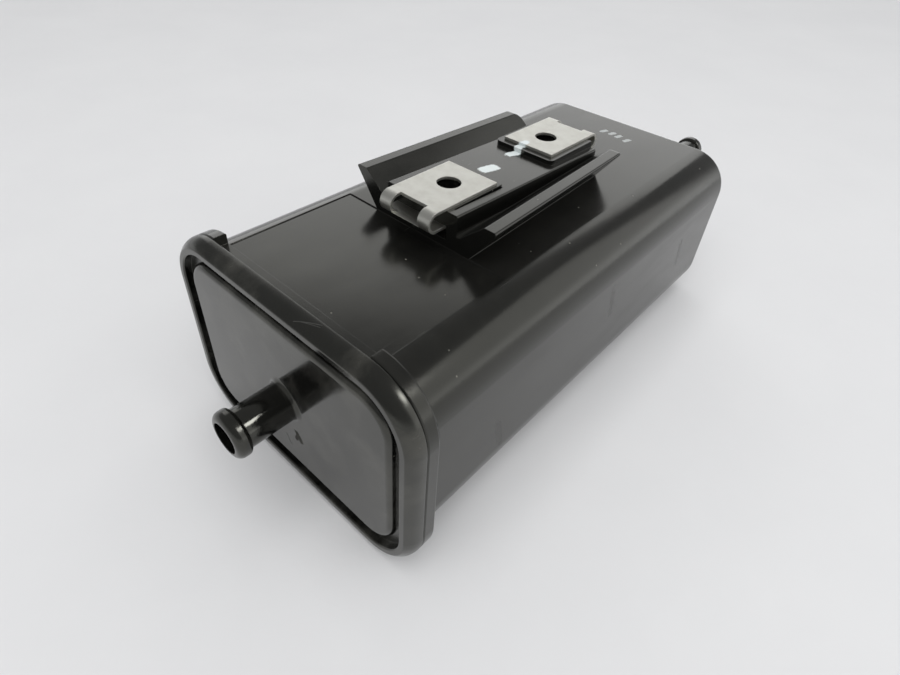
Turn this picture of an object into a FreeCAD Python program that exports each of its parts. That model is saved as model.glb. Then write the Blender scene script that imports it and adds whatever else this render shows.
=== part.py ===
import FreeCAD, Part
import math
import os

V = FreeCAD.Vector

# Sizes are millimetres. X runs across the cap, Y from the cap to the far end, Z up.
# Lengths along Y start at the front plane of the cap's lip until the shapes are written.

# Cap rim: a flat lip in front and a crown that widens from it to the weld plane
lip_width = 120.0
lip_height = 83.6
lip_corner = 19.5
rim_flare = 3.0
rim_depth = 6.6
lip_edge = 0.7
weld_chamfer = 0.45

# Canister body and its weld flange
body_inset = 1.8
body_corner = 18.7
wall = 2.6
body_end = 231.0
end_edge_radius = 3.0
flange_depth = 5.2
flange_edge = 0.9
flange_trim_rise = 0.6
panel_half = 40.6
panel_depth = 0.45
grid_standoff = 8.0
standoff_rib = 2.4

# End cap face
lip_thickness = 2.5
channel_width = 3.9
channel_depth = 3.2
plateau_setback = 0.5
plateau_round = 2.4
spigot_length = 5.8
spigot_thickness = 2.4
spigot_clearance = 0.3

# Vent stub on the cap
vent_length = 23.8
vent_radius = 7.6
vent_bead = 9.0
vent_bore = 6.0

# Far-end stubs
port_length = 27.0
port_radius = 5.6
port_bead = 6.7
port_bore = 4.2
port_offset_x = 27.5
port_offset_z = 27.6

# Bead at the open end of every stub, and the round at its root
bead_length = 5.4
bead_rise = 1.4
bead_rim = 0.4
stub_root_round = 1.7

# Clip nuts bent from sheet
clip_sheet = 1.2
clip_half = 12.4
clip_loop = 5.6
clip_hole = 4.8
clip_free_end = 13.8
clip_reach = 24.0
clip_lower_end = 8.5
clip_pitch = 64.4
barrel_radius = 5.7
barrel_length = 4.0
barrel_clearance = 0.4
thread_bore = 3.4

# Bracket platform on top of the body
bracket_x = -1.0
bracket_front = 67.9
hole_to_tongue_end = 14.9
seat_rise = 14.5
platform_half = 17.8
platform_fall = 3.0
platform_edge = 0.8
tongue = 6.0
tongue_hole_clearance = 0.7
tunnel_clearance = 0.4
front_seat_margin = 2.0
seat_side_margin = 0.9
rear_pad_margin = 3.3
rear_pad_side_margin = 2.5
rear_pad_corner = 2.5
slot_width = 0.6
slot_depth = 2.4
slot_length = 27.5
slot_setback = 3.2

# Wings beside the platform
wing_foot = 6.6
wing_lean = 11.0
wing_tip_width = 5.6
wing_above_seat = 0.9
groove_rise = 5.1
wing_converge = 3.8
wing_edge = 0.7
wing_far_corner = 4.0
ledge_width = 1.6
ledge_rise = 1.2
root = 1.0

# Bed, fleeces, plate and grid inside the body
fleece = 3.5
plate = 3.0
grid = 3.0
spring_room = 19.0
bed_clearance = 0.3
plate_clearance = 0.5
slit_width = 4.0
slit_columns = 9
slit_margin = 6.0
slit_middle = 22.0

# Compression springs and their posts
spring_spread = 27.0
spring_mean = 7.0
spring_wire = 1.6
spring_coils = 5
spring_seat_gap = 0.3
post_gap = 0.4
cap_post_length = 6.0
plate_post_length = 3.0

# Sizes that follow from those above
flange_width = lip_width + 2 * rim_flare
flange_height = lip_height + 2 * rim_flare
flange_corner = lip_corner + rim_flare
mid_z = flange_height / 2
body_width = lip_width - 2 * body_inset
body_height = lip_height - 2 * body_inset
body_top = mid_z + body_height / 2
flange_back = rim_depth + flange_depth
inner_width = body_width - 2 * wall
inner_height = body_height - 2 * wall
inner_corner = body_corner - wall
inner_end = body_end - wall
plateau_inset = lip_thickness + channel_width
cap_inside = plateau_setback + wall
vent_tip = plateau_setback - vent_length
port_tip = body_end + port_length
front_hole = bracket_front + hole_to_tongue_end
rear_hole = front_hole + clip_pitch
bracket_back = rear_hole + hole_to_tongue_end
bracket_length = bracket_back - bracket_front
seat_z = body_top + seat_rise
tunnel_roof = seat_z - tongue
tunnel_floor = tunnel_roof - clip_sheet - barrel_length - barrel_clearance
tunnel_half = clip_half + tunnel_clearance
wing_top = seat_z + wing_above_seat
plate_front = cap_inside + spring_room
plate_back = plate_front + plate
bed_front = plate_back + fleece
grid_back = inner_end - grid_standoff
grid_front = grid_back - grid
bed_back = grid_front - fleece
post_radius = spring_mean - spring_wire / 2 - post_gap
origin_y = (vent_tip + port_tip) / 2


def block(x0, x1, y0, y1, z0, z1):
    return Part.makeBox(x1 - x0, y1 - y0, z1 - z0, V(x0, y0, z0))


def rounded_outline(width, height, corner, y):
    """Upright rounded rectangle about the middle of the canister, in the plane at y."""
    bulge = corner * (1 - math.sqrt(0.5))
    x = width / 2
    z = height / 2
    right_up = [V(x, y, z - corner), V(x - bulge, y, z - bulge), V(x - corner, y, z)]
    edges = []
    last = V(x, y, corner - z)
    for sx, sz in ((1, 1), (-1, 1), (-1, -1), (1, -1)):
        arc = [V(sx * p.x, y, sz * p.z) for p in right_up]
        if sx * sz < 0:
            arc.reverse()
        edges.append(Part.makeLine(last, arc[0]))
        edges.append(Part.Arc(arc[0], arc[1], arc[2]).toShape())
        last = arc[2]
    outline = Part.Wire(edges)
    outline.translate(V(0, 0, mid_z))
    return outline


def rounded_block(width, height, corner, front, back):
    return Part.Face(rounded_outline(width, height, corner, front)).extrude(V(0, back - front, 0))


def rod(radius, x, z, y0, y1):
    return Part.makeCylinder(radius, y1 - y0, V(x, y0, z), V(0, 1, 0))


def edges_at(shape, y):
    return [e for e in shape.Edges if all(abs(v.Point.y - y) < 0.01 for v in e.Vertexes)]


def long_edges_above(shape, z):
    return [e for e in shape.Edges
            if abs(e.tangentAt(e.FirstParameter).y) > 0.9 and all(v.Point.z > z for v in e.Vertexes)]


def prism(points, along):
    return Part.Face(Part.makePolygon(points + points[:1])).extrude(along)


def hose_stub(length, pipe, bead, bore):
    """Solid stub on the Y axis from 0 to length, rounded out at its root, with a bead at its tip."""
    half = math.sqrt(0.5)
    bead_start = length - bead_length
    round_off = bead - bore - bead_rim
    nose = length - round_off
    p = [V(0, 0, 0), V(pipe + stub_root_round, 0, 0), V(pipe, stub_root_round, 0), V(pipe, bead_start, 0),
         V(bead, bead_start + bead_rise, 0), V(bead, nose, 0), V(bead - round_off, length, 0), V(0, length, 0)]
    hollow = V(pipe + stub_root_round * (1 - half), stub_root_round * (1 - half), 0)
    shoulder = V(pipe + (bead - pipe) * half, bead_start + bead_rise * (1 - half), 0)
    tip = V(bead - round_off * (1 - half), nose + round_off * half, 0)
    edges = [Part.makeLine(p[0], p[1]), Part.Arc(p[1], hollow, p[2]).toShape(), Part.makeLine(p[2], p[3]),
             Part.Arc(p[3], shoulder, p[4]).toShape(), Part.makeLine(p[4], p[5]),
             Part.Arc(p[5], tip, p[6]).toShape(), Part.makeLine(p[6], p[7]), Part.makeLine(p[7], p[0])]
    return Part.Face(Part.Wire(edges)).revolve(V(0, 0, 0), V(0, 1, 0), 360)


def sheet_inside(clearance, front, back):
    gap = 2 * clearance
    return rounded_block(inner_width - gap, inner_height - gap, inner_corner - clearance, front, back)


def slitted(plate_shape, y0, y1):
    """Cuts two rows of upright slits through a plate, above and below the spring seats."""
    pitch = (inner_width - 2 * inner_corner) / (slit_columns - 1)
    near = slit_middle / 2
    far = inner_height / 2 - slit_margin
    for low, high in ((mid_z - far, mid_z - near), (mid_z + near, mid_z + far)):
        for column in range(slit_columns):
            x = (column - (slit_columns - 1) / 2) * pitch
            plate_shape = plate_shape.cut(block(x - slit_width / 2, x + slit_width / 2, y0 - 1, y1 + 1, low, high))
    return plate_shape


# Body shell and its weld flange, trimmed along the top over the width of the panel
panel_left = bracket_x - panel_half
panel_right = bracket_x + panel_half
body = rounded_block(body_width, body_height, body_corner, rim_depth, body_end)
body = body.makeFillet(end_edge_radius, edges_at(body, body_end))
flange = rounded_block(flange_width, flange_height, flange_corner, rim_depth, flange_back)
flange = flange.makeChamfer(weld_chamfer, edges_at(flange, rim_depth))
flange = flange.makeFillet(flange_edge, edges_at(flange, flange_back))
flange = flange.cut(block(panel_left, panel_right, rim_depth - 1, flange_back + 1,
                          body_top + flange_trim_rise, flange_height + 1))
body = body.fuse(flange)
body = body.cut(block(panel_left, panel_right, flange_back, bracket_front, body_top - panel_depth, body_top + 1))

# Wings: slanted sections that run together towards the far end
tip_x = platform_half + wing_foot + wing_lean
groove_z = body_top + groove_rise
inner_slope = (tip_x - wing_tip_width - platform_half) / (wing_top - groove_z)
for side in (-1, 1):
    section = [(platform_half + wing_foot, body_top), (tip_x, wing_top), (tip_x - wing_tip_width, wing_top),
               (platform_half - root, groove_z - root / inner_slope), (platform_half - root, body_top - root),
               (platform_half + wing_foot, body_top - root)]
    points = [V(bracket_x + side * x, bracket_front, z) for x, z in section]
    wing = prism(points, V(-side * wing_converge, bracket_length, 0))
    far_edges = [e for e in edges_at(wing, bracket_back) if all(v.Point.z > wing_top - 0.01 for v in e.Vertexes)]
    wing = wing.makeFillet(wing_far_corner, far_edges)
    wing = wing.makeFillet(wing_edge, long_edges_above(wing, wing_top - 0.01))
    body = body.fuse(wing)

# Platform with the front seat, the rear pad, the ledges at its foot and the tunnel under its tongues
platform_left = bracket_x - platform_half
platform = prism([V(platform_left, bracket_front, body_top - root),
                  V(platform_left, bracket_front, seat_z),
                  V(platform_left, bracket_back, seat_z - platform_fall),
                  V(platform_left, bracket_back, body_top - root)], V(2 * platform_half, 0, 0))
platform = platform.makeFillet(platform_edge, long_edges_above(platform, seat_z - platform_fall - 0.01))
seat_half = clip_half + seat_side_margin
seat_end = front_hole + clip_free_end + front_seat_margin
platform = platform.fuse(block(bracket_x - seat_half, bracket_x + seat_half, bracket_front, seat_end,
                               tunnel_roof, seat_z))
pad_half = clip_half + rear_pad_side_margin
pad_front = rear_hole - clip_free_end - rear_pad_margin
pad = block(bracket_x - pad_half, bracket_x + pad_half, pad_front, bracket_back, tunnel_roof, seat_z)
pad_corners = [e for e in edges_at(pad, pad_front) if abs(e.tangentAt(e.FirstParameter).z) > 0.9]
platform = platform.fuse(pad.makeFillet(rear_pad_corner, pad_corners))
body = body.fuse(platform)
for side in (-1, 1):
    inner = bracket_x + side * (platform_half - root)
    outer = bracket_x + side * (platform_half + ledge_width)
    body = body.fuse(block(min(inner, outer), max(inner, outer), bracket_front, bracket_back,
                           body_top - root, groove_z + ledge_rise))
    slot_x = bracket_x + side * (seat_half + slot_width / 2)
    slot_y = bracket_front + slot_setback
    body = body.cut(block(slot_x - slot_width / 2, slot_x + slot_width / 2, slot_y, slot_y + slot_length,
                          seat_z - slot_depth, seat_z + 1))
body = body.cut(block(bracket_x - tunnel_half, bracket_x + tunnel_half, bracket_front - 1, bracket_back + 1,
                      tunnel_floor, tunnel_roof))
for hole_y in (front_hole, rear_hole):
    body = body.cut(Part.makeCylinder(clip_hole + tongue_hole_clearance, tongue + 2,
                                      V(bracket_x, hole_y, tunnel_roof - 1)))

# Inside of the body, the ribs that hold the grid off the end wall, and the two far-end stubs
body = body.cut(rounded_block(inner_width, inner_height, inner_corner, rim_depth - 1, inner_end))
for x in (-inner_width / 4, 0, inner_width / 4):
    body = body.fuse(block(x - standoff_rib / 2, x + standoff_rib / 2, grid_back, inner_end + root,
                           mid_z - inner_height / 4, mid_z + inner_height / 4))
for side in (-1, 1):
    x = side * port_offset_x
    z = mid_z + side * port_offset_z
    stub = hose_stub(port_length, port_radius, port_bead, port_bore)
    stub.translate(V(x, body_end, z))
    body = body.fuse(stub)
    body = body.cut(rod(port_bore, x, z, inner_end - 1, port_tip + 1))
canister_body = body.removeSplitter()

# End cap: crowned rim, channel and plateau in front, hollow behind, with a spigot in the body's mouth
crown_end = rim_depth - 2 * weld_chamfer
crown = (rim_flare ** 2 + crown_end ** 2) / (2 * rim_flare)
crown_start = crown_end - crown
cap = rounded_block(flange_width, flange_height, flange_corner, crown_start, rim_depth)
cap = cap.makeFillet(crown, edges_at(cap, crown_start))
cap = cap.makeChamfer(weld_chamfer, edges_at(cap, rim_depth))
cap = cap.cut(block(-flange_width, flange_width, crown_start - 1, 0, -1, flange_height + 1))
cap = cap.cut(rounded_block(lip_width - 2 * lip_thickness, lip_height - 2 * lip_thickness,
                            lip_corner - lip_thickness, -1, channel_depth))
cap = cap.makeFillet(lip_edge, edges_at(cap, 0))
plateau = rounded_block(lip_width - 2 * plateau_inset, lip_height - 2 * plateau_inset,
                        lip_corner - plateau_inset, plateau_setback, rim_depth)
cap = cap.fuse(plateau.makeFillet(plateau_round, edges_at(plateau, plateau_setback)))
spigot_width = inner_width - 2 * spigot_clearance
spigot_height = inner_height - 2 * spigot_clearance
spigot_corner = inner_corner - spigot_clearance
spigot_back = rim_depth + spigot_length
cap = cap.fuse(rounded_block(spigot_width, spigot_height, spigot_corner, rim_depth - root, spigot_back))
cap = cap.cut(rounded_block(spigot_width - 2 * spigot_thickness, spigot_height - 2 * spigot_thickness,
                            spigot_corner - spigot_thickness, rim_depth, spigot_back + 1))
hollow_inset = plateau_inset + wall
cap = cap.cut(rounded_block(lip_width - 2 * hollow_inset, lip_height - 2 * hollow_inset,
                            lip_corner - hollow_inset, cap_inside, spigot_back + 1))
vent = hose_stub(vent_length, vent_radius, vent_bead, vent_bore)
vent.rotate(V(0, 0, 0), V(0, 0, 1), 180)
vent.translate(V(0, plateau_setback, mid_z))
cap = cap.fuse(vent)
cap = cap.cut(rod(vent_bore, 0, mid_z, vent_tip - 1, cap_inside + 1))
for side in (-1, 1):
    cap = cap.fuse(rod(post_radius, side * spring_spread, mid_z, cap_inside - root, cap_inside + cap_post_length))
end_cap = cap.removeSplitter()


def clip_nut(hole_y, fold):
    """Sheet clip with its hole at hole_y; fold is -1 when it is folded on the cap side, 1 on the far side."""
    inner = tongue / 2
    outer = inner + clip_sheet
    fold_z = seat_z - inner
    fold_y = hole_y + fold * (clip_reach - outer)
    free_y = hole_y - fold * clip_free_end
    lower_y = hole_y - fold * clip_lower_end
    top = seat_z + clip_sheet
    low = tunnel_roof - clip_sheet
    x = bracket_x - clip_half
    p = [V(x, free_y, top), V(x, fold_y, top), V(x, fold_y, low), V(x, lower_y, low),
         V(x, lower_y, tunnel_roof), V(x, fold_y, tunnel_roof), V(x, fold_y, seat_z), V(x, free_y, seat_z)]
    edges = [Part.makeLine(p[0], p[1]), Part.Arc(p[1], V(x, fold_y + fold * outer, fold_z), p[2]).toShape(),
             Part.makeLine(p[2], p[3]), Part.makeLine(p[3], p[4]), Part.makeLine(p[4], p[5]),
             Part.Arc(p[5], V(x, fold_y + fold * inner, fold_z), p[6]).toShape(),
             Part.makeLine(p[6], p[7]), Part.makeLine(p[7], p[0])]
    clip = Part.Face(Part.Wire(edges)).extrude(V(2 * clip_half, 0, 0))
    window_half = clip_half - clip_loop
    window_y = sorted([fold_y - fold * clip_sheet, fold_y + fold * (outer + 1)])
    clip = clip.cut(block(bracket_x - window_half, bracket_x + window_half, window_y[0], window_y[1],
                          tunnel_roof, top + 1))
    barrel_low = low - barrel_length
    clip = clip.fuse(Part.makeCylinder(barrel_radius, barrel_length + clip_sheet / 2, V(bracket_x, hole_y, barrel_low)))
    clip = clip.cut(Part.makeCylinder(thread_bore, tunnel_roof - barrel_low + 2, V(bracket_x, hole_y, barrel_low - 1)))
    clip = clip.cut(Part.makeCylinder(clip_hole, clip_sheet + 2, V(bracket_x, hole_y, seat_z - 1)))
    return clip.removeSplitter()


def spring(x):
    """Helical spring on the Y axis between the cap and the pressure plate."""
    height = spring_room - 2 * spring_seat_gap - spring_wire
    path = Part.Wire(Part.makeHelix(height / spring_coils, height, spring_mean))
    ring = Part.Wire(Part.makeCircle(spring_wire / 2, V(spring_mean, 0, 0), V(0, 1, 0)))
    coil = path.makePipeShell([ring], True, True)
    coil.rotate(V(0, 0, 0), V(1, 0, 0), -90)
    coil.translate(V(x, cap_inside + spring_seat_gap + spring_wire / 2, mid_z))
    return coil


# Pressure plate with the posts that centre the springs
pressure_plate = slitted(sheet_inside(plate_clearance, plate_front, plate_back), plate_front, plate_back)
for side in (-1, 1):
    post = rod(post_radius, side * spring_spread, mid_z, plate_front - plate_post_length, plate_front + root)
    pressure_plate = pressure_plate.fuse(post)

shapes = {
    "canister_body": canister_body,
    "end_cap": end_cap,
    "front_clip_nut": clip_nut(front_hole, -1),
    "rear_clip_nut": clip_nut(rear_hole, 1),
    "pressure_plate": pressure_plate.removeSplitter(),
    "left_spring": spring(-spring_spread),
    "right_spring": spring(spring_spread),
    "air_side_fleece": sheet_inside(bed_clearance, plate_back, bed_front),
    "carbon_bed": sheet_inside(bed_clearance, bed_front, bed_back),
    "vapour_side_fleece": sheet_inside(bed_clearance, bed_back, grid_front),
    "support_grid": slitted(sheet_inside(bed_clearance, grid_front, grid_back), grid_front, grid_back),
}

os.makedirs("parts", exist_ok=True)
for name, shape in shapes.items():
    shape.translate(V(0, -origin_y, 0))
    shape.exportStep("parts/" + name + ".step")
    print(name, shape.ShapeType, len(shape.Solids), shape.isValid(), round(shape.Volume))
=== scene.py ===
import bpy
import math
from mathutils import Matrix, Vector


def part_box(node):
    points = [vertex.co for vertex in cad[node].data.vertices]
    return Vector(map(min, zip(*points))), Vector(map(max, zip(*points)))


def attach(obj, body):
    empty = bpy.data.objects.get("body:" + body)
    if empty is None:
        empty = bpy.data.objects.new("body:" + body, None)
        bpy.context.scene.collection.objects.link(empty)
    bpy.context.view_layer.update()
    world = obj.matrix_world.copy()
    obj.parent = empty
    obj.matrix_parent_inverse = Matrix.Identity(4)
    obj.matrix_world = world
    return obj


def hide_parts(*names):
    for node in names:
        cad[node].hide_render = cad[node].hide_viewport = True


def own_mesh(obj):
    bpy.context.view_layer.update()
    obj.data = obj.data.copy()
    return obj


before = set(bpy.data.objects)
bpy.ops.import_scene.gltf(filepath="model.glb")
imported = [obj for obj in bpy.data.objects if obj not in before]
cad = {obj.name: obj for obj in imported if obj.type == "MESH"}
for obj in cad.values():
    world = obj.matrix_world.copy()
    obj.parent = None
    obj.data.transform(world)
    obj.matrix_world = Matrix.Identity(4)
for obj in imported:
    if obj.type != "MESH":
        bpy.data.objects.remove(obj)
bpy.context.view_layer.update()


# Canister body: one black polyamide moulding with its weld flange, its slanted wings and
# its clip platform. The mould leaves a fine satin grain, long flow ripples and a thin
# film of dust on top; a few strokes of white inspection paint mark the platform.
def place(tree, kind, sockets=None, **settings):
    """Adds one shader node, with its settings and the values of its unlinked sockets."""
    made = tree.nodes.new(kind)
    for name, value in settings.items():
        setattr(made, name, value)
    for name, value in (sockets or {}).items():
        made.inputs[name].default_value = value
    return made


def ranged(tree, value, start, full):
    """Mask that grows from 0 to 1 between two values."""
    made = place(tree, "ShaderNodeMapRange", {"From Min": start, "From Max": full})
    tree.links.new(value, made.inputs["Value"])
    return made.outputs["Result"]


def product(tree, first, second, **settings):
    """Product of two sockets."""
    made = place(tree, "ShaderNodeMath", operation="MULTIPLY", **settings)
    tree.links.new(first, made.inputs[0])
    tree.links.new(second, made.inputs[1])
    return made.outputs[0]


def new_effect(name, inputs, outputs):
    """Empty shader node group with named sockets: inputs are (name, socket kind, value)."""
    tree = bpy.data.node_groups.new(name, "ShaderNodeTree")
    for label, kind, value in inputs:
        made = tree.interface.new_socket(label, in_out="INPUT", socket_type="NodeSocket" + kind)
        if value is not None:
            made.default_value = value
    for label in outputs:
        tree.interface.new_socket(label, in_out="OUTPUT", socket_type="NodeSocketFloat")
    given = tree.nodes.new("NodeGroupInput").outputs
    return tree, given, tree.nodes.new("NodeGroupOutput").inputs


def moulded_skin_effect():
    """Satin grain with flow ripples: a bump height, and a roughness that drifts over the part."""
    tree, given, result = new_effect("moulded_skin", [
        ("Position", "Vector", None), ("Grains per Metre", "Float", 1800.0),
        ("Ripple", "Float", 1.0), ("Smoothest", "Float", 0.2), ("Roughest", "Float", 0.3)],
        ["Height", "Roughness", "Drift"])
    link = tree.links.new
    grain_share = 0.045
    grain = place(tree, "ShaderNodeTexNoise", {"Detail": 2.0, "Roughness": 0.6})
    link(given["Position"], grain.inputs["Vector"])
    link(given["Grains per Metre"], grain.inputs["Scale"])
    stretch = place(tree, "ShaderNodeMapping", {"Scale": (1.0, 0.35, 1.0)})
    link(given["Position"], stretch.inputs["Vector"])
    ripple = place(tree, "ShaderNodeTexNoise", {"Scale": 34.0, "Detail": 1.0})
    link(stretch.outputs["Vector"], ripple.inputs["Vector"])
    swell = product(tree, ripple.outputs["Fac"], given["Ripple"])
    height = place(tree, "ShaderNodeMath", operation="MULTIPLY_ADD")
    height.inputs[1].default_value = grain_share
    link(grain.outputs["Fac"], height.inputs[0])
    link(swell, height.inputs[2])
    drift = place(tree, "ShaderNodeTexNoise", {"Scale": 55.0, "Detail": 5.0, "Roughness": 0.62})
    link(stretch.outputs["Vector"], drift.inputs["Vector"])
    spread = place(tree, "ShaderNodeMapRange", {"From Min": 0.32, "From Max": 0.68})
    link(drift.outputs["Fac"], spread.inputs["Value"])
    link(given["Smoothest"], spread.inputs["To Min"])
    link(given["Roughest"], spread.inputs["To Max"])
    link(height.outputs[0], result["Height"])
    link(spread.outputs["Result"], result["Roughness"])
    link(drift.outputs["Fac"], result["Drift"])
    return tree


def rub_marks_effect():
    """Fine straight scratches in patches, as handling leaves them: a mask from 0 to 1."""
    tree, given, result = new_effect("rub_marks", [
        ("Position", "Vector", None), ("Turn", "Vector", (0.0, 0.0, 0.0)),
        ("Amount", "Float", 0.5)], ["Mask"])
    link = tree.links.new
    turn = place(tree, "ShaderNodeMapping", {"Scale": (1500.0, 38.0, 900.0)})
    link(given["Position"], turn.inputs["Vector"])
    link(given["Turn"], turn.inputs["Rotation"])
    lines = place(tree, "ShaderNodeTexNoise", {"Scale": 1.0, "Detail": 2.0, "Roughness": 0.7})
    link(turn.outputs["Vector"], lines.inputs["Vector"])
    thin = ranged(tree, lines.outputs["Fac"], 0.66, 0.76)
    patch = place(tree, "ShaderNodeTexNoise", {"Scale": 48.0, "Detail": 3.0})
    link(given["Position"], patch.inputs["Vector"])
    gathered = product(tree, thin, ranged(tree, patch.outputs["Fac"], 0.5, 0.66))
    link(product(tree, gathered, given["Amount"], use_clamp=True), result["Mask"])
    return tree


def settled_dust_effect():
    """Dust that lies on faces turned upwards, in soft clouds: a mask from 0 to 1."""
    tree, given, result = new_effect("settled_dust", [
        ("Position", "Vector", None), ("Amount", "Float", 0.5)], ["Mask"])
    link = tree.links.new
    facing = place(tree, "ShaderNodeNewGeometry")
    upward = place(tree, "ShaderNodeSeparateXYZ")
    link(facing.outputs["Normal"], upward.inputs[0])
    level = ranged(tree, upward.outputs["Z"], 0.3, 1.0)
    cloud = place(tree, "ShaderNodeTexNoise", {"Scale": 70.0, "Detail": 6.0, "Roughness": 0.7})
    link(given["Position"], cloud.inputs["Vector"])
    settled = product(tree, level, ranged(tree, cloud.outputs["Fac"], 0.3, 0.75))
    link(product(tree, settled, given["Amount"], use_clamp=True), result["Mask"])
    return tree


def dab_effect():
    """One ragged dab of paint or ink round a centre: a mask from 0 to 1."""
    tree, given, result = new_effect("dab", [
        ("Position", "Vector", None), ("Centre", "Vector", (0.0, 0.0, 0.0)),
        ("Turn", "Vector", (0.0, 0.0, 0.0)), ("Half Size", "Vector", (0.004, 0.002, 0.002)),
        ("Ragged", "Float", 0.5)], ["Mask"])
    link = tree.links.new
    fourth_root = 0.25
    mean_noise = 0.5
    local = place(tree, "ShaderNodeMapping", vector_type="TEXTURE")
    link(given["Position"], local.inputs["Vector"])
    link(given["Centre"], local.inputs["Location"])
    link(given["Turn"], local.inputs["Rotation"])
    link(given["Half Size"], local.inputs["Scale"])
    squared = place(tree, "ShaderNodeVectorMath", operation="MULTIPLY")
    link(local.outputs["Vector"], squared.inputs[0])
    link(local.outputs["Vector"], squared.inputs[1])
    fourth = place(tree, "ShaderNodeVectorMath", operation="DOT_PRODUCT")
    link(squared.outputs["Vector"], fourth.inputs[0])
    link(squared.outputs["Vector"], fourth.inputs[1])
    reach = place(tree, "ShaderNodeMath", operation="POWER")
    reach.inputs[1].default_value = fourth_root
    link(fourth.outputs["Value"], reach.inputs[0])
    fray = place(tree, "ShaderNodeTexNoise", {"Scale": 650.0, "Detail": 3.0, "Roughness": 0.65})
    link(given["Position"], fray.inputs["Vector"])
    centred = place(tree, "ShaderNodeMath", operation="SUBTRACT")
    centred.inputs[1].default_value = mean_noise
    link(fray.outputs["Fac"], centred.inputs[0])
    edge = place(tree, "ShaderNodeMath", operation="MULTIPLY_ADD")
    link(centred.outputs[0], edge.inputs[0])
    link(given["Ragged"], edge.inputs[1])
    link(reach.outputs[0], edge.inputs[2])
    link(ranged(tree, edge.outputs[0], 1.1, 0.9), result["Mask"])
    return tree


def fallen_specks_effect():
    """Single specks of grit and lint, far apart: a mask from 0 to 1."""
    tree, given, result = new_effect("fallen_specks", [
        ("Position", "Vector", None), ("Cells per Metre", "Float", 170.0),
        ("Share", "Float", 0.3)], ["Mask"])
    link = tree.links.new
    cells = place(tree, "ShaderNodeTexVoronoi", feature="F1")
    link(given["Position"], cells.inputs["Vector"])
    link(given["Cells per Metre"], cells.inputs["Scale"])
    near = ranged(tree, cells.outputs["Distance"], 0.07, 0.035)
    chance = place(tree, "ShaderNodeSeparateColor")
    link(cells.outputs["Color"], chance.inputs[0])
    chosen = place(tree, "ShaderNodeMath", operation="LESS_THAN")
    link(chance.outputs["Red"], chosen.inputs[0])
    link(given["Share"], chosen.inputs[1])
    link(product(tree, near, chosen.outputs[0]), result["Mask"])
    return tree


moulded_skin = moulded_skin_effect()
rub_marks = rub_marks_effect()
settled_dust = settled_dust_effect()
dab = dab_effect()
fallen_specks = fallen_specks_effect()


def effect(tree, group, position, **values):
    """Places one of the shared effects in a material; underscores in names stand for blanks."""
    made = place(tree, "ShaderNodeGroup", node_tree=group)
    tree.links.new(position, made.inputs["Position"])
    for name, value in values.items():
        made.inputs[name.replace("_", " ")].default_value = value
    return made.outputs


def blank_material(name):
    """New node material: its tree, its shader and the piece's own coordinates."""
    made = bpy.data.materials.new(name)
    made.use_nodes = True
    tree = made.node_tree
    position = place(tree, "ShaderNodeTexCoord").outputs["Object"]
    return made, tree, tree.nodes["Principled BSDF"], position


def mixed(tree, mask, under, over):
    """Colour mix of two sockets or fixed colours by a mask."""
    made = place(tree, "ShaderNodeMix", data_type="RGBA")
    tree.links.new(mask, made.inputs["Factor"])
    colour_inputs, colour_output = (6, 7), 2
    for value, at in zip((under, over), colour_inputs):
        if isinstance(value, tuple):
            made.inputs[at].default_value = value
        else:
            tree.links.new(value, made.inputs[at])
    return made.outputs[colour_output]


def blended(tree, mask, under, over):
    """Number mix of two sockets or fixed values by a mask."""
    made = place(tree, "ShaderNodeMix", data_type="FLOAT")
    tree.links.new(mask, made.inputs["Factor"])
    number_inputs, number_output = (2, 3), 0
    for value, at in zip((under, over), number_inputs):
        if isinstance(value, float):
            made.inputs[at].default_value = value
        else:
            tree.links.new(value, made.inputs[at])
    return made.outputs[number_output]


def spread_over(tree, value, least, most):
    """Number between two limits that follows a pattern from 0 to 1."""
    made = place(tree, "ShaderNodeMapRange", {"To Min": least, "To Max": most})
    tree.links.new(value, made.inputs["Value"])
    return made.outputs["Result"]


def largest(tree, masks):
    """Highest of several masks."""
    top = masks[0]
    for mask in masks[1:]:
        higher = place(tree, "ShaderNodeMath", operation="MAXIMUM")
        tree.links.new(top, higher.inputs[0])
        tree.links.new(mask, higher.inputs[1])
        top = higher.outputs[0]
    return top


def bumped(tree, shader, height, distance, edge_radius):
    """Bump on rounded edges, as no moulded or bent edge is perfectly sharp."""
    edge = place(tree, "ShaderNodeBevel", {"Radius": edge_radius}, samples=6)
    bump = place(tree, "ShaderNodeBump", {"Strength": 1.0, "Distance": distance})
    tree.links.new(height, bump.inputs["Height"])
    tree.links.new(edge.outputs["Normal"], bump.inputs["Normal"])
    tree.links.new(bump.outputs["Normal"], shader.inputs["Normal"])


def dress(node, material):
    """Gives a CAD node its finish."""
    slots = cad[node].data.materials
    slots.clear()
    slots.append(material)


black = (0.0028, 0.0028, 0.0026, 1.0)
smeared_black = (0.006, 0.006, 0.0055, 1.0)
rubbed_black = (0.03, 0.03, 0.029, 1.0)
speck_grey = (0.15, 0.145, 0.125, 1.0)
ink_grey = (0.42, 0.44, 0.44, 1.0)
dust_grey = (0.2, 0.19, 0.165, 1.0)
paint_white = (0.68, 0.73, 0.73, 1.0)
warm_gloss = (1.0, 0.995, 0.9, 1.0)
smeared_roughness = 0.28
rubbed_roughness = 0.42
paint_roughness = 0.6
skin_depth = 0.0002
moulded_edge = 0.0003
stroke_turn = (0.0, 0.0, -0.2)
stroke_depth = 0.003
dash_height = 0.0848
side_face = 0.0585
body_plastic, tree, shader, position = blank_material("body_plastic")
skin = effect(tree, moulded_skin, position, Smoothest=0.15, Roughest=0.25, Ripple=0.3)
rubs = effect(tree, rub_marks, position, Turn=(0.1, 0.0, 0.35), Amount=0.6)
dust = effect(tree, settled_dust, position, Amount=0.03)
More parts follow.
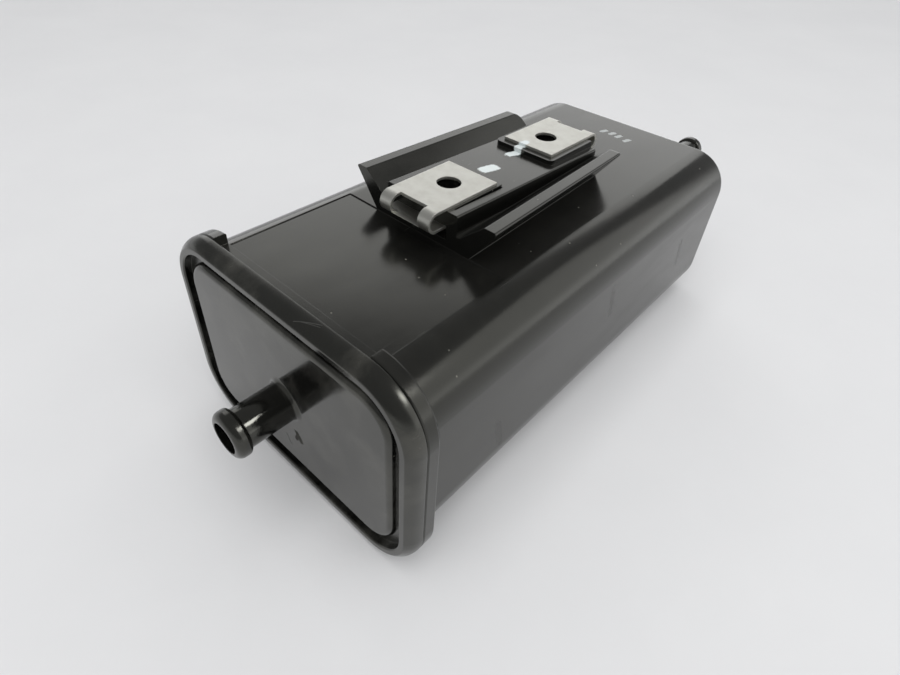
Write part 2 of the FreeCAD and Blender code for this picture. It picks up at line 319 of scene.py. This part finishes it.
pad_stroke = {"Centre": (-0.0039, 0.0163, 0.0997), "Turn": stroke_turn,
              "Half_Size": (0.0017, 0.0036, stroke_depth), "Ragged": 0.9}
strokes = [
    effect(tree, dab, position, Centre=(-0.0012, -0.0098, 0.0981), Turn=stroke_turn,
           Half_Size=(0.0026, 0.0047, stroke_depth), Ragged=0.5),
    effect(tree, dab, position, Centre=(-0.004, 0.0104, 0.0975), Turn=stroke_turn,
           Half_Size=(0.0019, 0.004, stroke_depth), Ragged=0.9),
    effect(tree, dab, position, **pad_stroke)]
ink_dashes = [effect(tree, dab, position, Centre=(x, y, dash_height), Turn=(0.0, 0.0, -0.3),
                     Half_Size=(0.0012, 0.0025, 0.002), Ragged=1.1)
              for x, y in ((-0.0044, 0.0934), (0.0004, 0.094), (0.0045, 0.093), (0.01, 0.0917))]
paint = largest(tree, [mark["Mask"] for mark in strokes])
ink = largest(tree, [mark["Mask"] for mark in ink_dashes])
specks = effect(tree, fallen_specks, position)
smears = [effect(tree, dab, position, Centre=(side_face, y, z), Turn=(0.25, 0.0, 0.0),
                 Half_Size=(0.004, 0.0017, 0.009), Ragged=1.6)
          for y, z in ((-0.0668, 0.033), (0.0063, 0.054), (0.0769, 0.046))]
smeared = largest(tree, [mark["Mask"] for mark in smears])
colour = mixed(tree, skin["Drift"], black, smeared_black)
colour = mixed(tree, rubs["Mask"], colour, rubbed_black)
colour = mixed(tree, dust["Mask"], colour, dust_grey)
colour = mixed(tree, specks["Mask"], colour, speck_grey)
colour = mixed(tree, ink, colour, ink_grey)
colour = mixed(tree, paint, colour, paint_white)
tree.links.new(colour, shader.inputs["Base Color"])
gloss = blended(tree, smeared, skin["Roughness"], smeared_roughness)
gloss = blended(tree, rubs["Mask"], gloss, rubbed_roughness)
gloss = blended(tree, largest(tree, [paint, ink, specks["Mask"]]), gloss, paint_roughness)
tree.links.new(gloss, shader.inputs["Roughness"])
shader.inputs["Specular Tint"].default_value = warm_gloss
shader.inputs["Specular IOR Level"].default_value = 0.63
bumped(tree, shader, skin["Height"], skin_depth, moulded_edge)
dress("canister_body", body_plastic)


# End cap: a shallow moulded tray of the same polyamide, hot-plate welded to the body's
# flange all round. Its raised face is smooth and shiny, with the turned-looking vent
# stub in its middle, a small nick below the stub and rub marks on its crowned rim.
stub_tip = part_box("end_cap")[0].y
bead_zone = (0.0062, 0.0054)
stub_zone = (0.0225, 0.021)
crown_zone = (0.0242, 0.0252)
smudged_black = (0.042, 0.041, 0.036, 1.0)
crown_roughness = 0.24
scraped_roughness = 0.4
stub_roughness = 0.1
bead_roughness = 0.21
nick_roughness = 0.95
cap_plastic, tree, shader, position = blank_material("cap_plastic")
skin = effect(tree, moulded_skin, position, Smoothest=0.1, Roughest=0.18, Ripple=0.6,
              Grains_per_Metre=1500.0)
rubs = effect(tree, rub_marks, position, Turn=(0.0, 0.3, 1.2), Amount=0.7)
dust = effect(tree, settled_dust, position, Amount=0.02)
nicks = [effect(tree, dab, position, Centre=(0.005, -0.1169, 0.0283), Turn=(0.0, -0.57, 0.0),
                Half_Size=(0.0013, 0.002, 0.003), Ragged=0.7),
         effect(tree, dab, position, Centre=(0.0036, -0.1169, 0.0266), Turn=(0.0, 0.35, 0.0),
                Half_Size=(0.0009, 0.002, 0.0018), Ragged=0.8)]
nick = largest(tree, [mark["Mask"] for mark in nicks])
scrapes = [effect(tree, dab, position, Centre=(0.0158, -0.114, 0.0885), Turn=(0.0, 0.0, 0.42),
                  Half_Size=(0.0048, 0.00014, 0.002), Ragged=0.8),
           effect(tree, dab, position, Centre=(0.0172, -0.1139, 0.0885), Turn=(0.0, 0.0, 0.3),
                  Half_Size=(0.0032, 0.0001, 0.002), Ragged=1.0),
           effect(tree, dab, position, Centre=(-0.0024, -0.1169, 0.0208), Turn=(0.0, -0.5, 0.0),
                  Half_Size=(0.0008, 0.002, 0.003), Ragged=1.9)]
scraped = largest(tree, [rubs["Mask"]] + [mark["Mask"] for mark in scrapes])
specks = effect(tree, fallen_specks, position, Share=0.2)
axes = place(tree, "ShaderNodeSeparateXYZ")
tree.links.new(position, axes.inputs[0])
on_bead, on_stub, on_crown = [
    ranged(tree, axes.outputs["Y"], stub_tip + start, stub_tip + full)
    for start, full in (bead_zone, stub_zone, crown_zone)]
smudge = ranged(tree, skin["Drift"], 0.48, 0.72)
colour = mixed(tree, smudge, black, smudged_black)
colour = mixed(tree, on_stub, colour, black)
colour = mixed(tree, scraped, colour, rubbed_black)
colour = mixed(tree, dust["Mask"], colour, dust_grey)
colour = mixed(tree, specks["Mask"], colour, speck_grey)
tree.links.new(colour, shader.inputs["Base Color"])
gloss = blended(tree, on_crown, skin["Roughness"], crown_roughness)
gloss = blended(tree, scraped, gloss, scraped_roughness)
gloss = blended(tree, on_stub, gloss, stub_roughness)
gloss = blended(tree, on_bead, gloss, bead_roughness)
gloss = blended(tree, nick, gloss, nick_roughness)
tree.links.new(gloss, shader.inputs["Roughness"])
depth = place(tree, "ShaderNodeMath", operation="SUBTRACT")
tree.links.new(skin["Height"], depth.inputs[0])
tree.links.new(nick, depth.inputs[1])
shader.inputs["Specular Tint"].default_value = warm_gloss
shader.inputs["Specular IOR Level"].default_value = 0.78
bumped(tree, shader, depth.outputs[0], skin_depth, moulded_edge)
dress("end_cap", cap_plastic)


# Clip nuts: spring-steel strip, punched, folded round the bracket's tongues and fitted
# with a threaded barrel below, then zinc plated. The plating is dull and warm, with faint
# rolling lines along the strip and small dull patches from handling.
zinc = (0.64, 0.635, 0.587, 1.0)
zinc_dull = (0.592, 0.582, 0.534, 1.0)
zinc_rubbed = (0.72, 0.72, 0.7, 1.0)
zinc_rubbed_roughness = 0.34
rolling_depth = 0.00004
sheared_edge = 0.0003
zinc_plate, tree, shader, position = blank_material("zinc_plate")
rolled = place(tree, "ShaderNodeMapping", {"Scale": (2600.0, 90.0, 900.0)})
tree.links.new(position, rolled.inputs["Vector"])
lines = place(tree, "ShaderNodeTexNoise", {"Scale": 1.0, "Detail": 3.0})
tree.links.new(rolled.outputs["Vector"], lines.inputs["Vector"])
mottle = place(tree, "ShaderNodeTexNoise", {"Scale": 230.0, "Detail": 5.0, "Roughness": 0.65})
tree.links.new(position, mottle.inputs["Vector"])
dull = ranged(tree, mottle.outputs["Fac"], 0.42, 0.72)
rubs = effect(tree, rub_marks, position, Turn=(0.0, 0.0, 0.5), Amount=0.8)
colour = mixed(tree, dull, zinc, zinc_dull)
colour = mixed(tree, rubs["Mask"], colour, zinc_rubbed)
paint = effect(tree, dab, position, **pad_stroke)["Mask"]
colour = mixed(tree, paint, colour, paint_white)
tree.links.new(colour, shader.inputs["Base Color"])
bare = blended(tree, paint, 1.0, 0.0)
tree.links.new(bare, shader.inputs["Metallic"])
gloss = spread_over(tree, mottle.outputs["Fac"], 0.4, 0.54)
gloss = blended(tree, rubs["Mask"], gloss, zinc_rubbed_roughness)
tree.links.new(gloss, shader.inputs["Roughness"])
bumped(tree, shader, lines.outputs["Fac"], rolling_depth, sheared_edge)
for clip in ("front_clip_nut", "rear_clip_nut"):
    dress(clip, zinc_plate)


# Inner plates: the pressure plate that slides behind the springs and the grid that holds
# the bed off the end wall. Both are dark polypropylene with a matt moulded face.
plate_black = (0.02, 0.02, 0.021, 1.0)
plate_grey = (0.04, 0.04, 0.041, 1.0)
plate_rubbed = (0.08, 0.08, 0.08, 1.0)
matt_depth = 0.0003
inner_plastic, tree, shader, position = blank_material("inner_plastic")
skin = effect(tree, moulded_skin, position, Smoothest=0.45, Roughest=0.6, Ripple=0.3,
              Grains_per_Metre=1200.0)
rubs = effect(tree, rub_marks, position, Amount=0.4)
colour = mixed(tree, skin["Drift"], plate_black, plate_grey)
colour = mixed(tree, rubs["Mask"], colour, plate_rubbed)
tree.links.new(colour, shader.inputs["Base Color"])
tree.links.new(skin["Roughness"], shader.inputs["Roughness"])
bumped(tree, shader, skin["Height"], matt_depth, moulded_edge)
for plate in ("pressure_plate", "support_grid"):
    dress(plate, inner_plastic)


# Springs: two coils of drawn steel wire between the cap and the pressure plate, pushed
# over short posts. The wire is oiled, with fine drawing lines and a bluish temper.
temper_blue = (0.3, 0.31, 0.34, 1.0)
temper_straw = (0.46, 0.44, 0.41, 1.0)
wire_steel, tree, shader, position = blank_material("wire_steel")
temper = place(tree, "ShaderNodeTexNoise", {"Scale": 320.0, "Detail": 4.0})
tree.links.new(position, temper.inputs["Vector"])
colour = mixed(tree, temper.outputs["Fac"], temper_blue, temper_straw)
tree.links.new(colour, shader.inputs["Base Color"])
shader.inputs["Metallic"].default_value = 1.0
gloss = spread_over(tree, temper.outputs["Fac"], 0.24, 0.44)
tree.links.new(gloss, shader.inputs["Roughness"])
drawn = place(tree, "ShaderNodeTexNoise", {"Scale": 2400.0, "Detail": 2.0})
tree.links.new(position, drawn.inputs["Vector"])
bump = place(tree, "ShaderNodeBump", {"Strength": 0.4, "Distance": 0.00003})
tree.links.new(drawn.outputs["Fac"], bump.inputs["Height"])
tree.links.new(bump.outputs["Normal"], shader.inputs["Normal"])


def coil_tree():
    """Geometry Nodes: a wire wound along Y from the middle of its first turn, with closed ends."""
    tree = bpy.data.node_groups.new("wound_spring", "GeometryNodeTree")
    tree.interface.new_socket("Geometry", in_out="INPUT", socket_type="NodeSocketGeometry")
    sizes = {}
    for name, kind in (("Middle", "Vector"), ("Mean Radius", "Float"), ("Wire Radius", "Float"),
                       ("Length", "Float"), ("Turns", "Float"), ("Finish", "Material")):
        made = tree.interface.new_socket(name, in_out="INPUT", socket_type="NodeSocket" + kind)
        sizes[name] = made.identifier
    tree.interface.new_socket("Geometry", in_out="OUTPUT", socket_type="NodeSocketGeometry")
    link = tree.links.new
    given = tree.nodes.new("NodeGroupInput").outputs
    line = place(tree, "GeometryNodeCurvePrimitiveLine")
    path = place(tree, "GeometryNodeResampleCurve", {"Count": 240})
    link(line.outputs["Curve"], path.inputs["Curve"])
    share = place(tree, "GeometryNodeSplineParameter").outputs["Factor"]

    def times(a, b):
        made = place(tree, "ShaderNodeMath", operation="MULTIPLY")
        link(a, made.inputs[0])
        if isinstance(b, float):
            made.inputs[1].default_value = b
        else:
            link(b, made.inputs[1])
        return made.outputs[0]

    angle = times(times(share, given["Turns"]), 2 * math.pi)
    cosine = place(tree, "ShaderNodeMath", operation="COSINE")
    sine = place(tree, "ShaderNodeMath", operation="SINE")
    link(angle, cosine.inputs[0])
    link(angle, sine.inputs[0])
    point = place(tree, "ShaderNodeCombineXYZ")
    link(times(cosine.outputs[0], given["Mean Radius"]), point.inputs["X"])
    link(times(share, given["Length"]), point.inputs["Y"])
    link(times(times(sine.outputs[0], given["Mean Radius"]), -1.0), point.inputs["Z"])
    moved = place(tree, "ShaderNodeVectorMath", operation="ADD")
    link(point.outputs[0], moved.inputs[0])
    link(given["Middle"], moved.inputs[1])
    wound = place(tree, "GeometryNodeSetPosition")
    link(path.outputs["Curve"], wound.inputs["Geometry"])
    link(moved.outputs[0], wound.inputs["Position"])
    wire = place(tree, "GeometryNodeCurvePrimitiveCircle", {"Resolution": 14})
    link(given["Wire Radius"], wire.inputs["Radius"])
    swept = place(tree, "GeometryNodeCurveToMesh", {"Fill Caps": True})
    link(wound.outputs["Geometry"], swept.inputs["Curve"])
    link(wire.outputs["Curve"], swept.inputs["Profile Curve"])
    smooth = place(tree, "GeometryNodeSetShadeSmooth")
    link(swept.outputs["Mesh"], smooth.inputs["Geometry"])
    real = place(tree, "GeometryNodeRealizeInstances")
    link(smooth.outputs["Geometry"], real.inputs["Geometry"])
    finish = place(tree, "GeometryNodeSetMaterial")
    link(real.outputs["Geometry"], finish.inputs["Geometry"])
    link(given["Finish"], finish.inputs["Material"])
    link(finish.outputs["Geometry"], tree.nodes.new("NodeGroupOutput").inputs["Geometry"])
    return tree, sizes


wound_spring, spring_sizes = coil_tree()
wire_radius = 0.0008
spring_turns = 5.0
for side in ("left", "right"):
    node = side + "_spring"
    low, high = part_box(node)
    middle = (low + high) / 2
    coil_name = side + "_spring_coil"
    coil = bpy.data.objects.new(coil_name, bpy.data.meshes.new(coil_name))
    bpy.context.scene.collection.objects.link(coil)
    winding = coil.modifiers.new("winding", "NODES")
    winding.node_group = wound_spring
    for name, value in (("Middle", Vector((middle.x, low.y + wire_radius, middle.z))),
                        ("Mean Radius", (high.x - low.x) / 2 - wire_radius),
                        ("Wire Radius", wire_radius),
                        ("Length", high.y - low.y - 2 * wire_radius),
                        ("Turns", spring_turns), ("Finish", wire_steel)):
        winding[spring_sizes[name]] = value
    wound = coil.evaluated_get(bpy.context.evaluated_depsgraph_get())
    coil_mesh = bpy.data.meshes.new_from_object(wound)
    coil.modifiers.remove(winding)
    coil.data = coil_mesh
    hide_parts(node)
    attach(coil, "canister")
    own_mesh(coil)


# Fleeces: two pressed sheets of off-white polyester fibre that keep the carbon in place
# and its dust out of the hoses. The fibres lie every way and hold grey carbon dust.
fibre_shade = (0.55, 0.54, 0.5, 1.0)
fibre_white = (0.78, 0.77, 0.73, 1.0)
carbon_stain = (0.25, 0.25, 0.24, 1.0)
fleece_felt, tree, shader, position = blank_material("fleece_felt")
fibre = place(tree, "ShaderNodeTexNoise",
              {"Scale": 900.0, "Detail": 6.0, "Roughness": 0.75, "Distortion": 2.0})
tree.links.new(position, fibre.inputs["Vector"])
stain = place(tree, "ShaderNodeTexNoise", {"Scale": 60.0, "Detail": 4.0})
tree.links.new(position, stain.inputs["Vector"])
soiled = ranged(tree, stain.outputs["Fac"], 0.45, 0.8)
colour = mixed(tree, fibre.outputs["Fac"], fibre_shade, fibre_white)
colour = mixed(tree, soiled, colour, carbon_stain)
tree.links.new(colour, shader.inputs["Base Color"])
gloss = spread_over(tree, fibre.outputs["Fac"], 0.85, 1.0)
tree.links.new(gloss, shader.inputs["Roughness"])
bump = place(tree, "ShaderNodeBump", {"Strength": 0.8, "Distance": 0.0004})
tree.links.new(fibre.outputs["Fac"], bump.inputs["Height"])
tree.links.new(bump.outputs["Normal"], shader.inputs["Normal"])
for sheet in ("air_side_fleece", "vapour_side_fleece"):
    dress(sheet, fleece_felt)


# Carbon bed: pelletised activated carbon, poured in and packed tight between the fleeces.
# The pellets are about two millimetres across, dull and dark grey; painted shade darkens each one
# towards its edge and fills the gaps between them with black.
pellet_grey = (0.028, 0.028, 0.029, 1.0)
shaded_gap_black = (0.006, 0.006, 0.006, 1.0)
packed_carbon, tree, shader, position = blank_material("packed_carbon")
pellets = place(tree, "ShaderNodeTexVoronoi", {"Scale": 480.0}, feature="F1")
tree.links.new(position, pellets.inputs["Vector"])
rounded = place(tree, "ShaderNodeMath", operation="SUBTRACT")
rounded.inputs[0].default_value = 1.0
tree.links.new(pellets.outputs["Distance"], rounded.inputs[1])
# painted shade: the colour darkens from each pellet's middle to black in the gaps between pellets
colour = mixed(tree, pellets.outputs["Distance"], pellet_grey, shaded_gap_black)
tree.links.new(colour, shader.inputs["Base Color"])
gloss = spread_over(tree, pellets.outputs["Distance"], 0.7, 0.95)
tree.links.new(gloss, shader.inputs["Roughness"])
bump = place(tree, "ShaderNodeBump", {"Strength": 1.0, "Distance": 0.0008})
tree.links.new(rounded.outputs[0], bump.inputs["Height"])
tree.links.new(bump.outputs["Normal"], shader.inputs["Normal"])
dress("carbon_bed", packed_carbon)


# Floor: a wide sheet of pale paper. The canister rests on the lower edge of its flange and
# on its far end, so the sheet is tilted a little against the canister's own axes.
flange_rest = (-0.1062, 0.0)
far_rest = (0.1107, 0.0048)
slope = (far_rest[1] - flange_rest[1]) / (far_rest[0] - flange_rest[0])
floor_reach = 2.5
floor_gap = 0.0002
paper_shade = (0.7, 0.7, 0.71, 1.0)
paper_white = (0.765, 0.765, 0.77, 1.0)
floor_mesh = bpy.data.meshes.new("floor")
floor_mesh.from_pydata([(x, y, slope * (y - flange_rest[0]) - floor_gap)
                        for x, y in ((-floor_reach, -floor_reach), (floor_reach, -floor_reach),
                                     (floor_reach, floor_reach), (-floor_reach, floor_reach))],
                       [], [(0, 1, 2, 3)])
floor = bpy.data.objects.new("floor", floor_mesh)
bpy.context.scene.collection.objects.link(floor)
pale_paper, tree, shader, position = blank_material("pale_paper")
cloud = place(tree, "ShaderNodeTexNoise", {"Scale": 9.0, "Detail": 6.0, "Roughness": 0.6})
tree.links.new(position, cloud.inputs["Vector"])
colour = mixed(tree, cloud.outputs["Fac"], paper_shade, paper_white)
tree.links.new(colour, shader.inputs["Base Color"])
shader.inputs["Roughness"].default_value = 0.9
shader.inputs["Specular IOR Level"].default_value = 0.1
creases = place(tree, "ShaderNodeBump", {"Strength": 0.25, "Distance": 0.004})
tree.links.new(cloud.outputs["Fac"], creases.inputs["Height"])
tree.links.new(creases.outputs["Normal"], shader.inputs["Normal"])
floor_mesh.materials.append(pale_paper)


# Light: a large soft window behind and to the left for the top of the canister, a pale wall
# to the right for its round edge, a ceiling for the paper and a small lamp for the sparkle.
# The room beyond has the colour of the paper; mirrored, it is pale only near the floor.
wall_fades = 0.26
wall_full = 0.12
world = bpy.data.worlds.new("studio")
bpy.context.scene.world = world
world.use_nodes = True
tree = world.node_tree
room_light = tree.nodes["Background"]
room_light.inputs["Color"].default_value = (0.97, 0.985, 1.0, 1.0)
room_light.inputs["Strength"].default_value = 0.27
pale_wall = place(tree, "ShaderNodeBackground", {"Color": (0.74, 0.75, 0.76, 1.0), "Strength": 1.0})
rays = place(tree, "ShaderNodeLightPath").outputs
rise = place(tree, "ShaderNodeSeparateXYZ")
tree.links.new(place(tree, "ShaderNodeTexCoord").outputs["Generated"], rise.inputs[0])
indirect = largest(tree, [rays["Is Glossy Ray"], rays["Is Transmission Ray"]])
mirrored = product(tree, indirect, ranged(tree, rise.outputs["Z"], wall_fades, wall_full))
either = place(tree, "ShaderNodeMixShader")
tree.links.new(largest(tree, [rays["Is Camera Ray"], mirrored]), either.inputs["Fac"])
tree.links.new(room_light.outputs["Background"], either.inputs[1])
tree.links.new(pale_wall.outputs["Background"], either.inputs[2])
tree.links.new(either.outputs["Shader"], tree.nodes["World Output"].inputs["Surface"])


def soft_window(name, place_at, aim, width, height, radiance):
    """Large rectangular lamp; its power follows from how bright its surface looks."""
    lamp = bpy.data.lights.new(name, "AREA")
    lamp.shape = "RECTANGLE"
    lamp.size = width
    lamp.size_y = height
    lamp.energy = radiance * math.pi * width * height
    made = bpy.data.objects.new(name, lamp)
    bpy.context.scene.collection.objects.link(made)
    made.location = place_at
    towards = Vector(aim) - Vector(place_at)
    made.rotation_euler = towards.to_track_quat("-Z", "Y").to_euler()
    return made


soft_window("left_window", (-1.45, 1.6, 1.0), (0.0, 0.05, 0.05), 3.4, 1.5, 1.12)
soft_window("right_wall", (1.75, 1.3, 0.985), (0.0, 0.05, 0.05), 2.6, 2.05, 0.85)
ceiling = soft_window("ceiling", (0.8, -1.05, 2.0), (0.8, -1.05, 0.0), 3.0, 3.0, 2.1)
ceiling.visible_glossy = False
spark = soft_window("spark", (1.22, 0.49, 1.55), (0.03, -0.12, 0.06), 0.44, 0.56, 11.0)
spark.visible_diffuse = False


# Camera: a wide lens close to the canister, above its right front corner. The lens is
# shifted a little, because the canister stands above the middle of the photograph.
view_right = Vector((0.7407, 0.6693, 0.0584))
view_up = Vector((-0.4557, 0.4366, 0.7755))
view_back = Vector((0.4936, -0.6011, 0.6285))
picture_width = 900
middle_offset = 37.5
camera = bpy.data.objects.new("camera", bpy.data.cameras.new("camera"))
bpy.context.scene.collection.objects.link(camera)
camera.data.lens = 23.162
camera.data.sensor_width = 36.0
camera.data.shift_y = -middle_offset / picture_width
camera.data.clip_start = 0.01
stand = Matrix((view_right, view_up, view_back)).transposed().to_4x4()
stand.translation = Vector((0.127716, -0.18539, 0.203688))
camera.matrix_world = stand
bpy.context.scene.camera = camera
bpy.context.scene.view_settings.view_transform = "Standard"
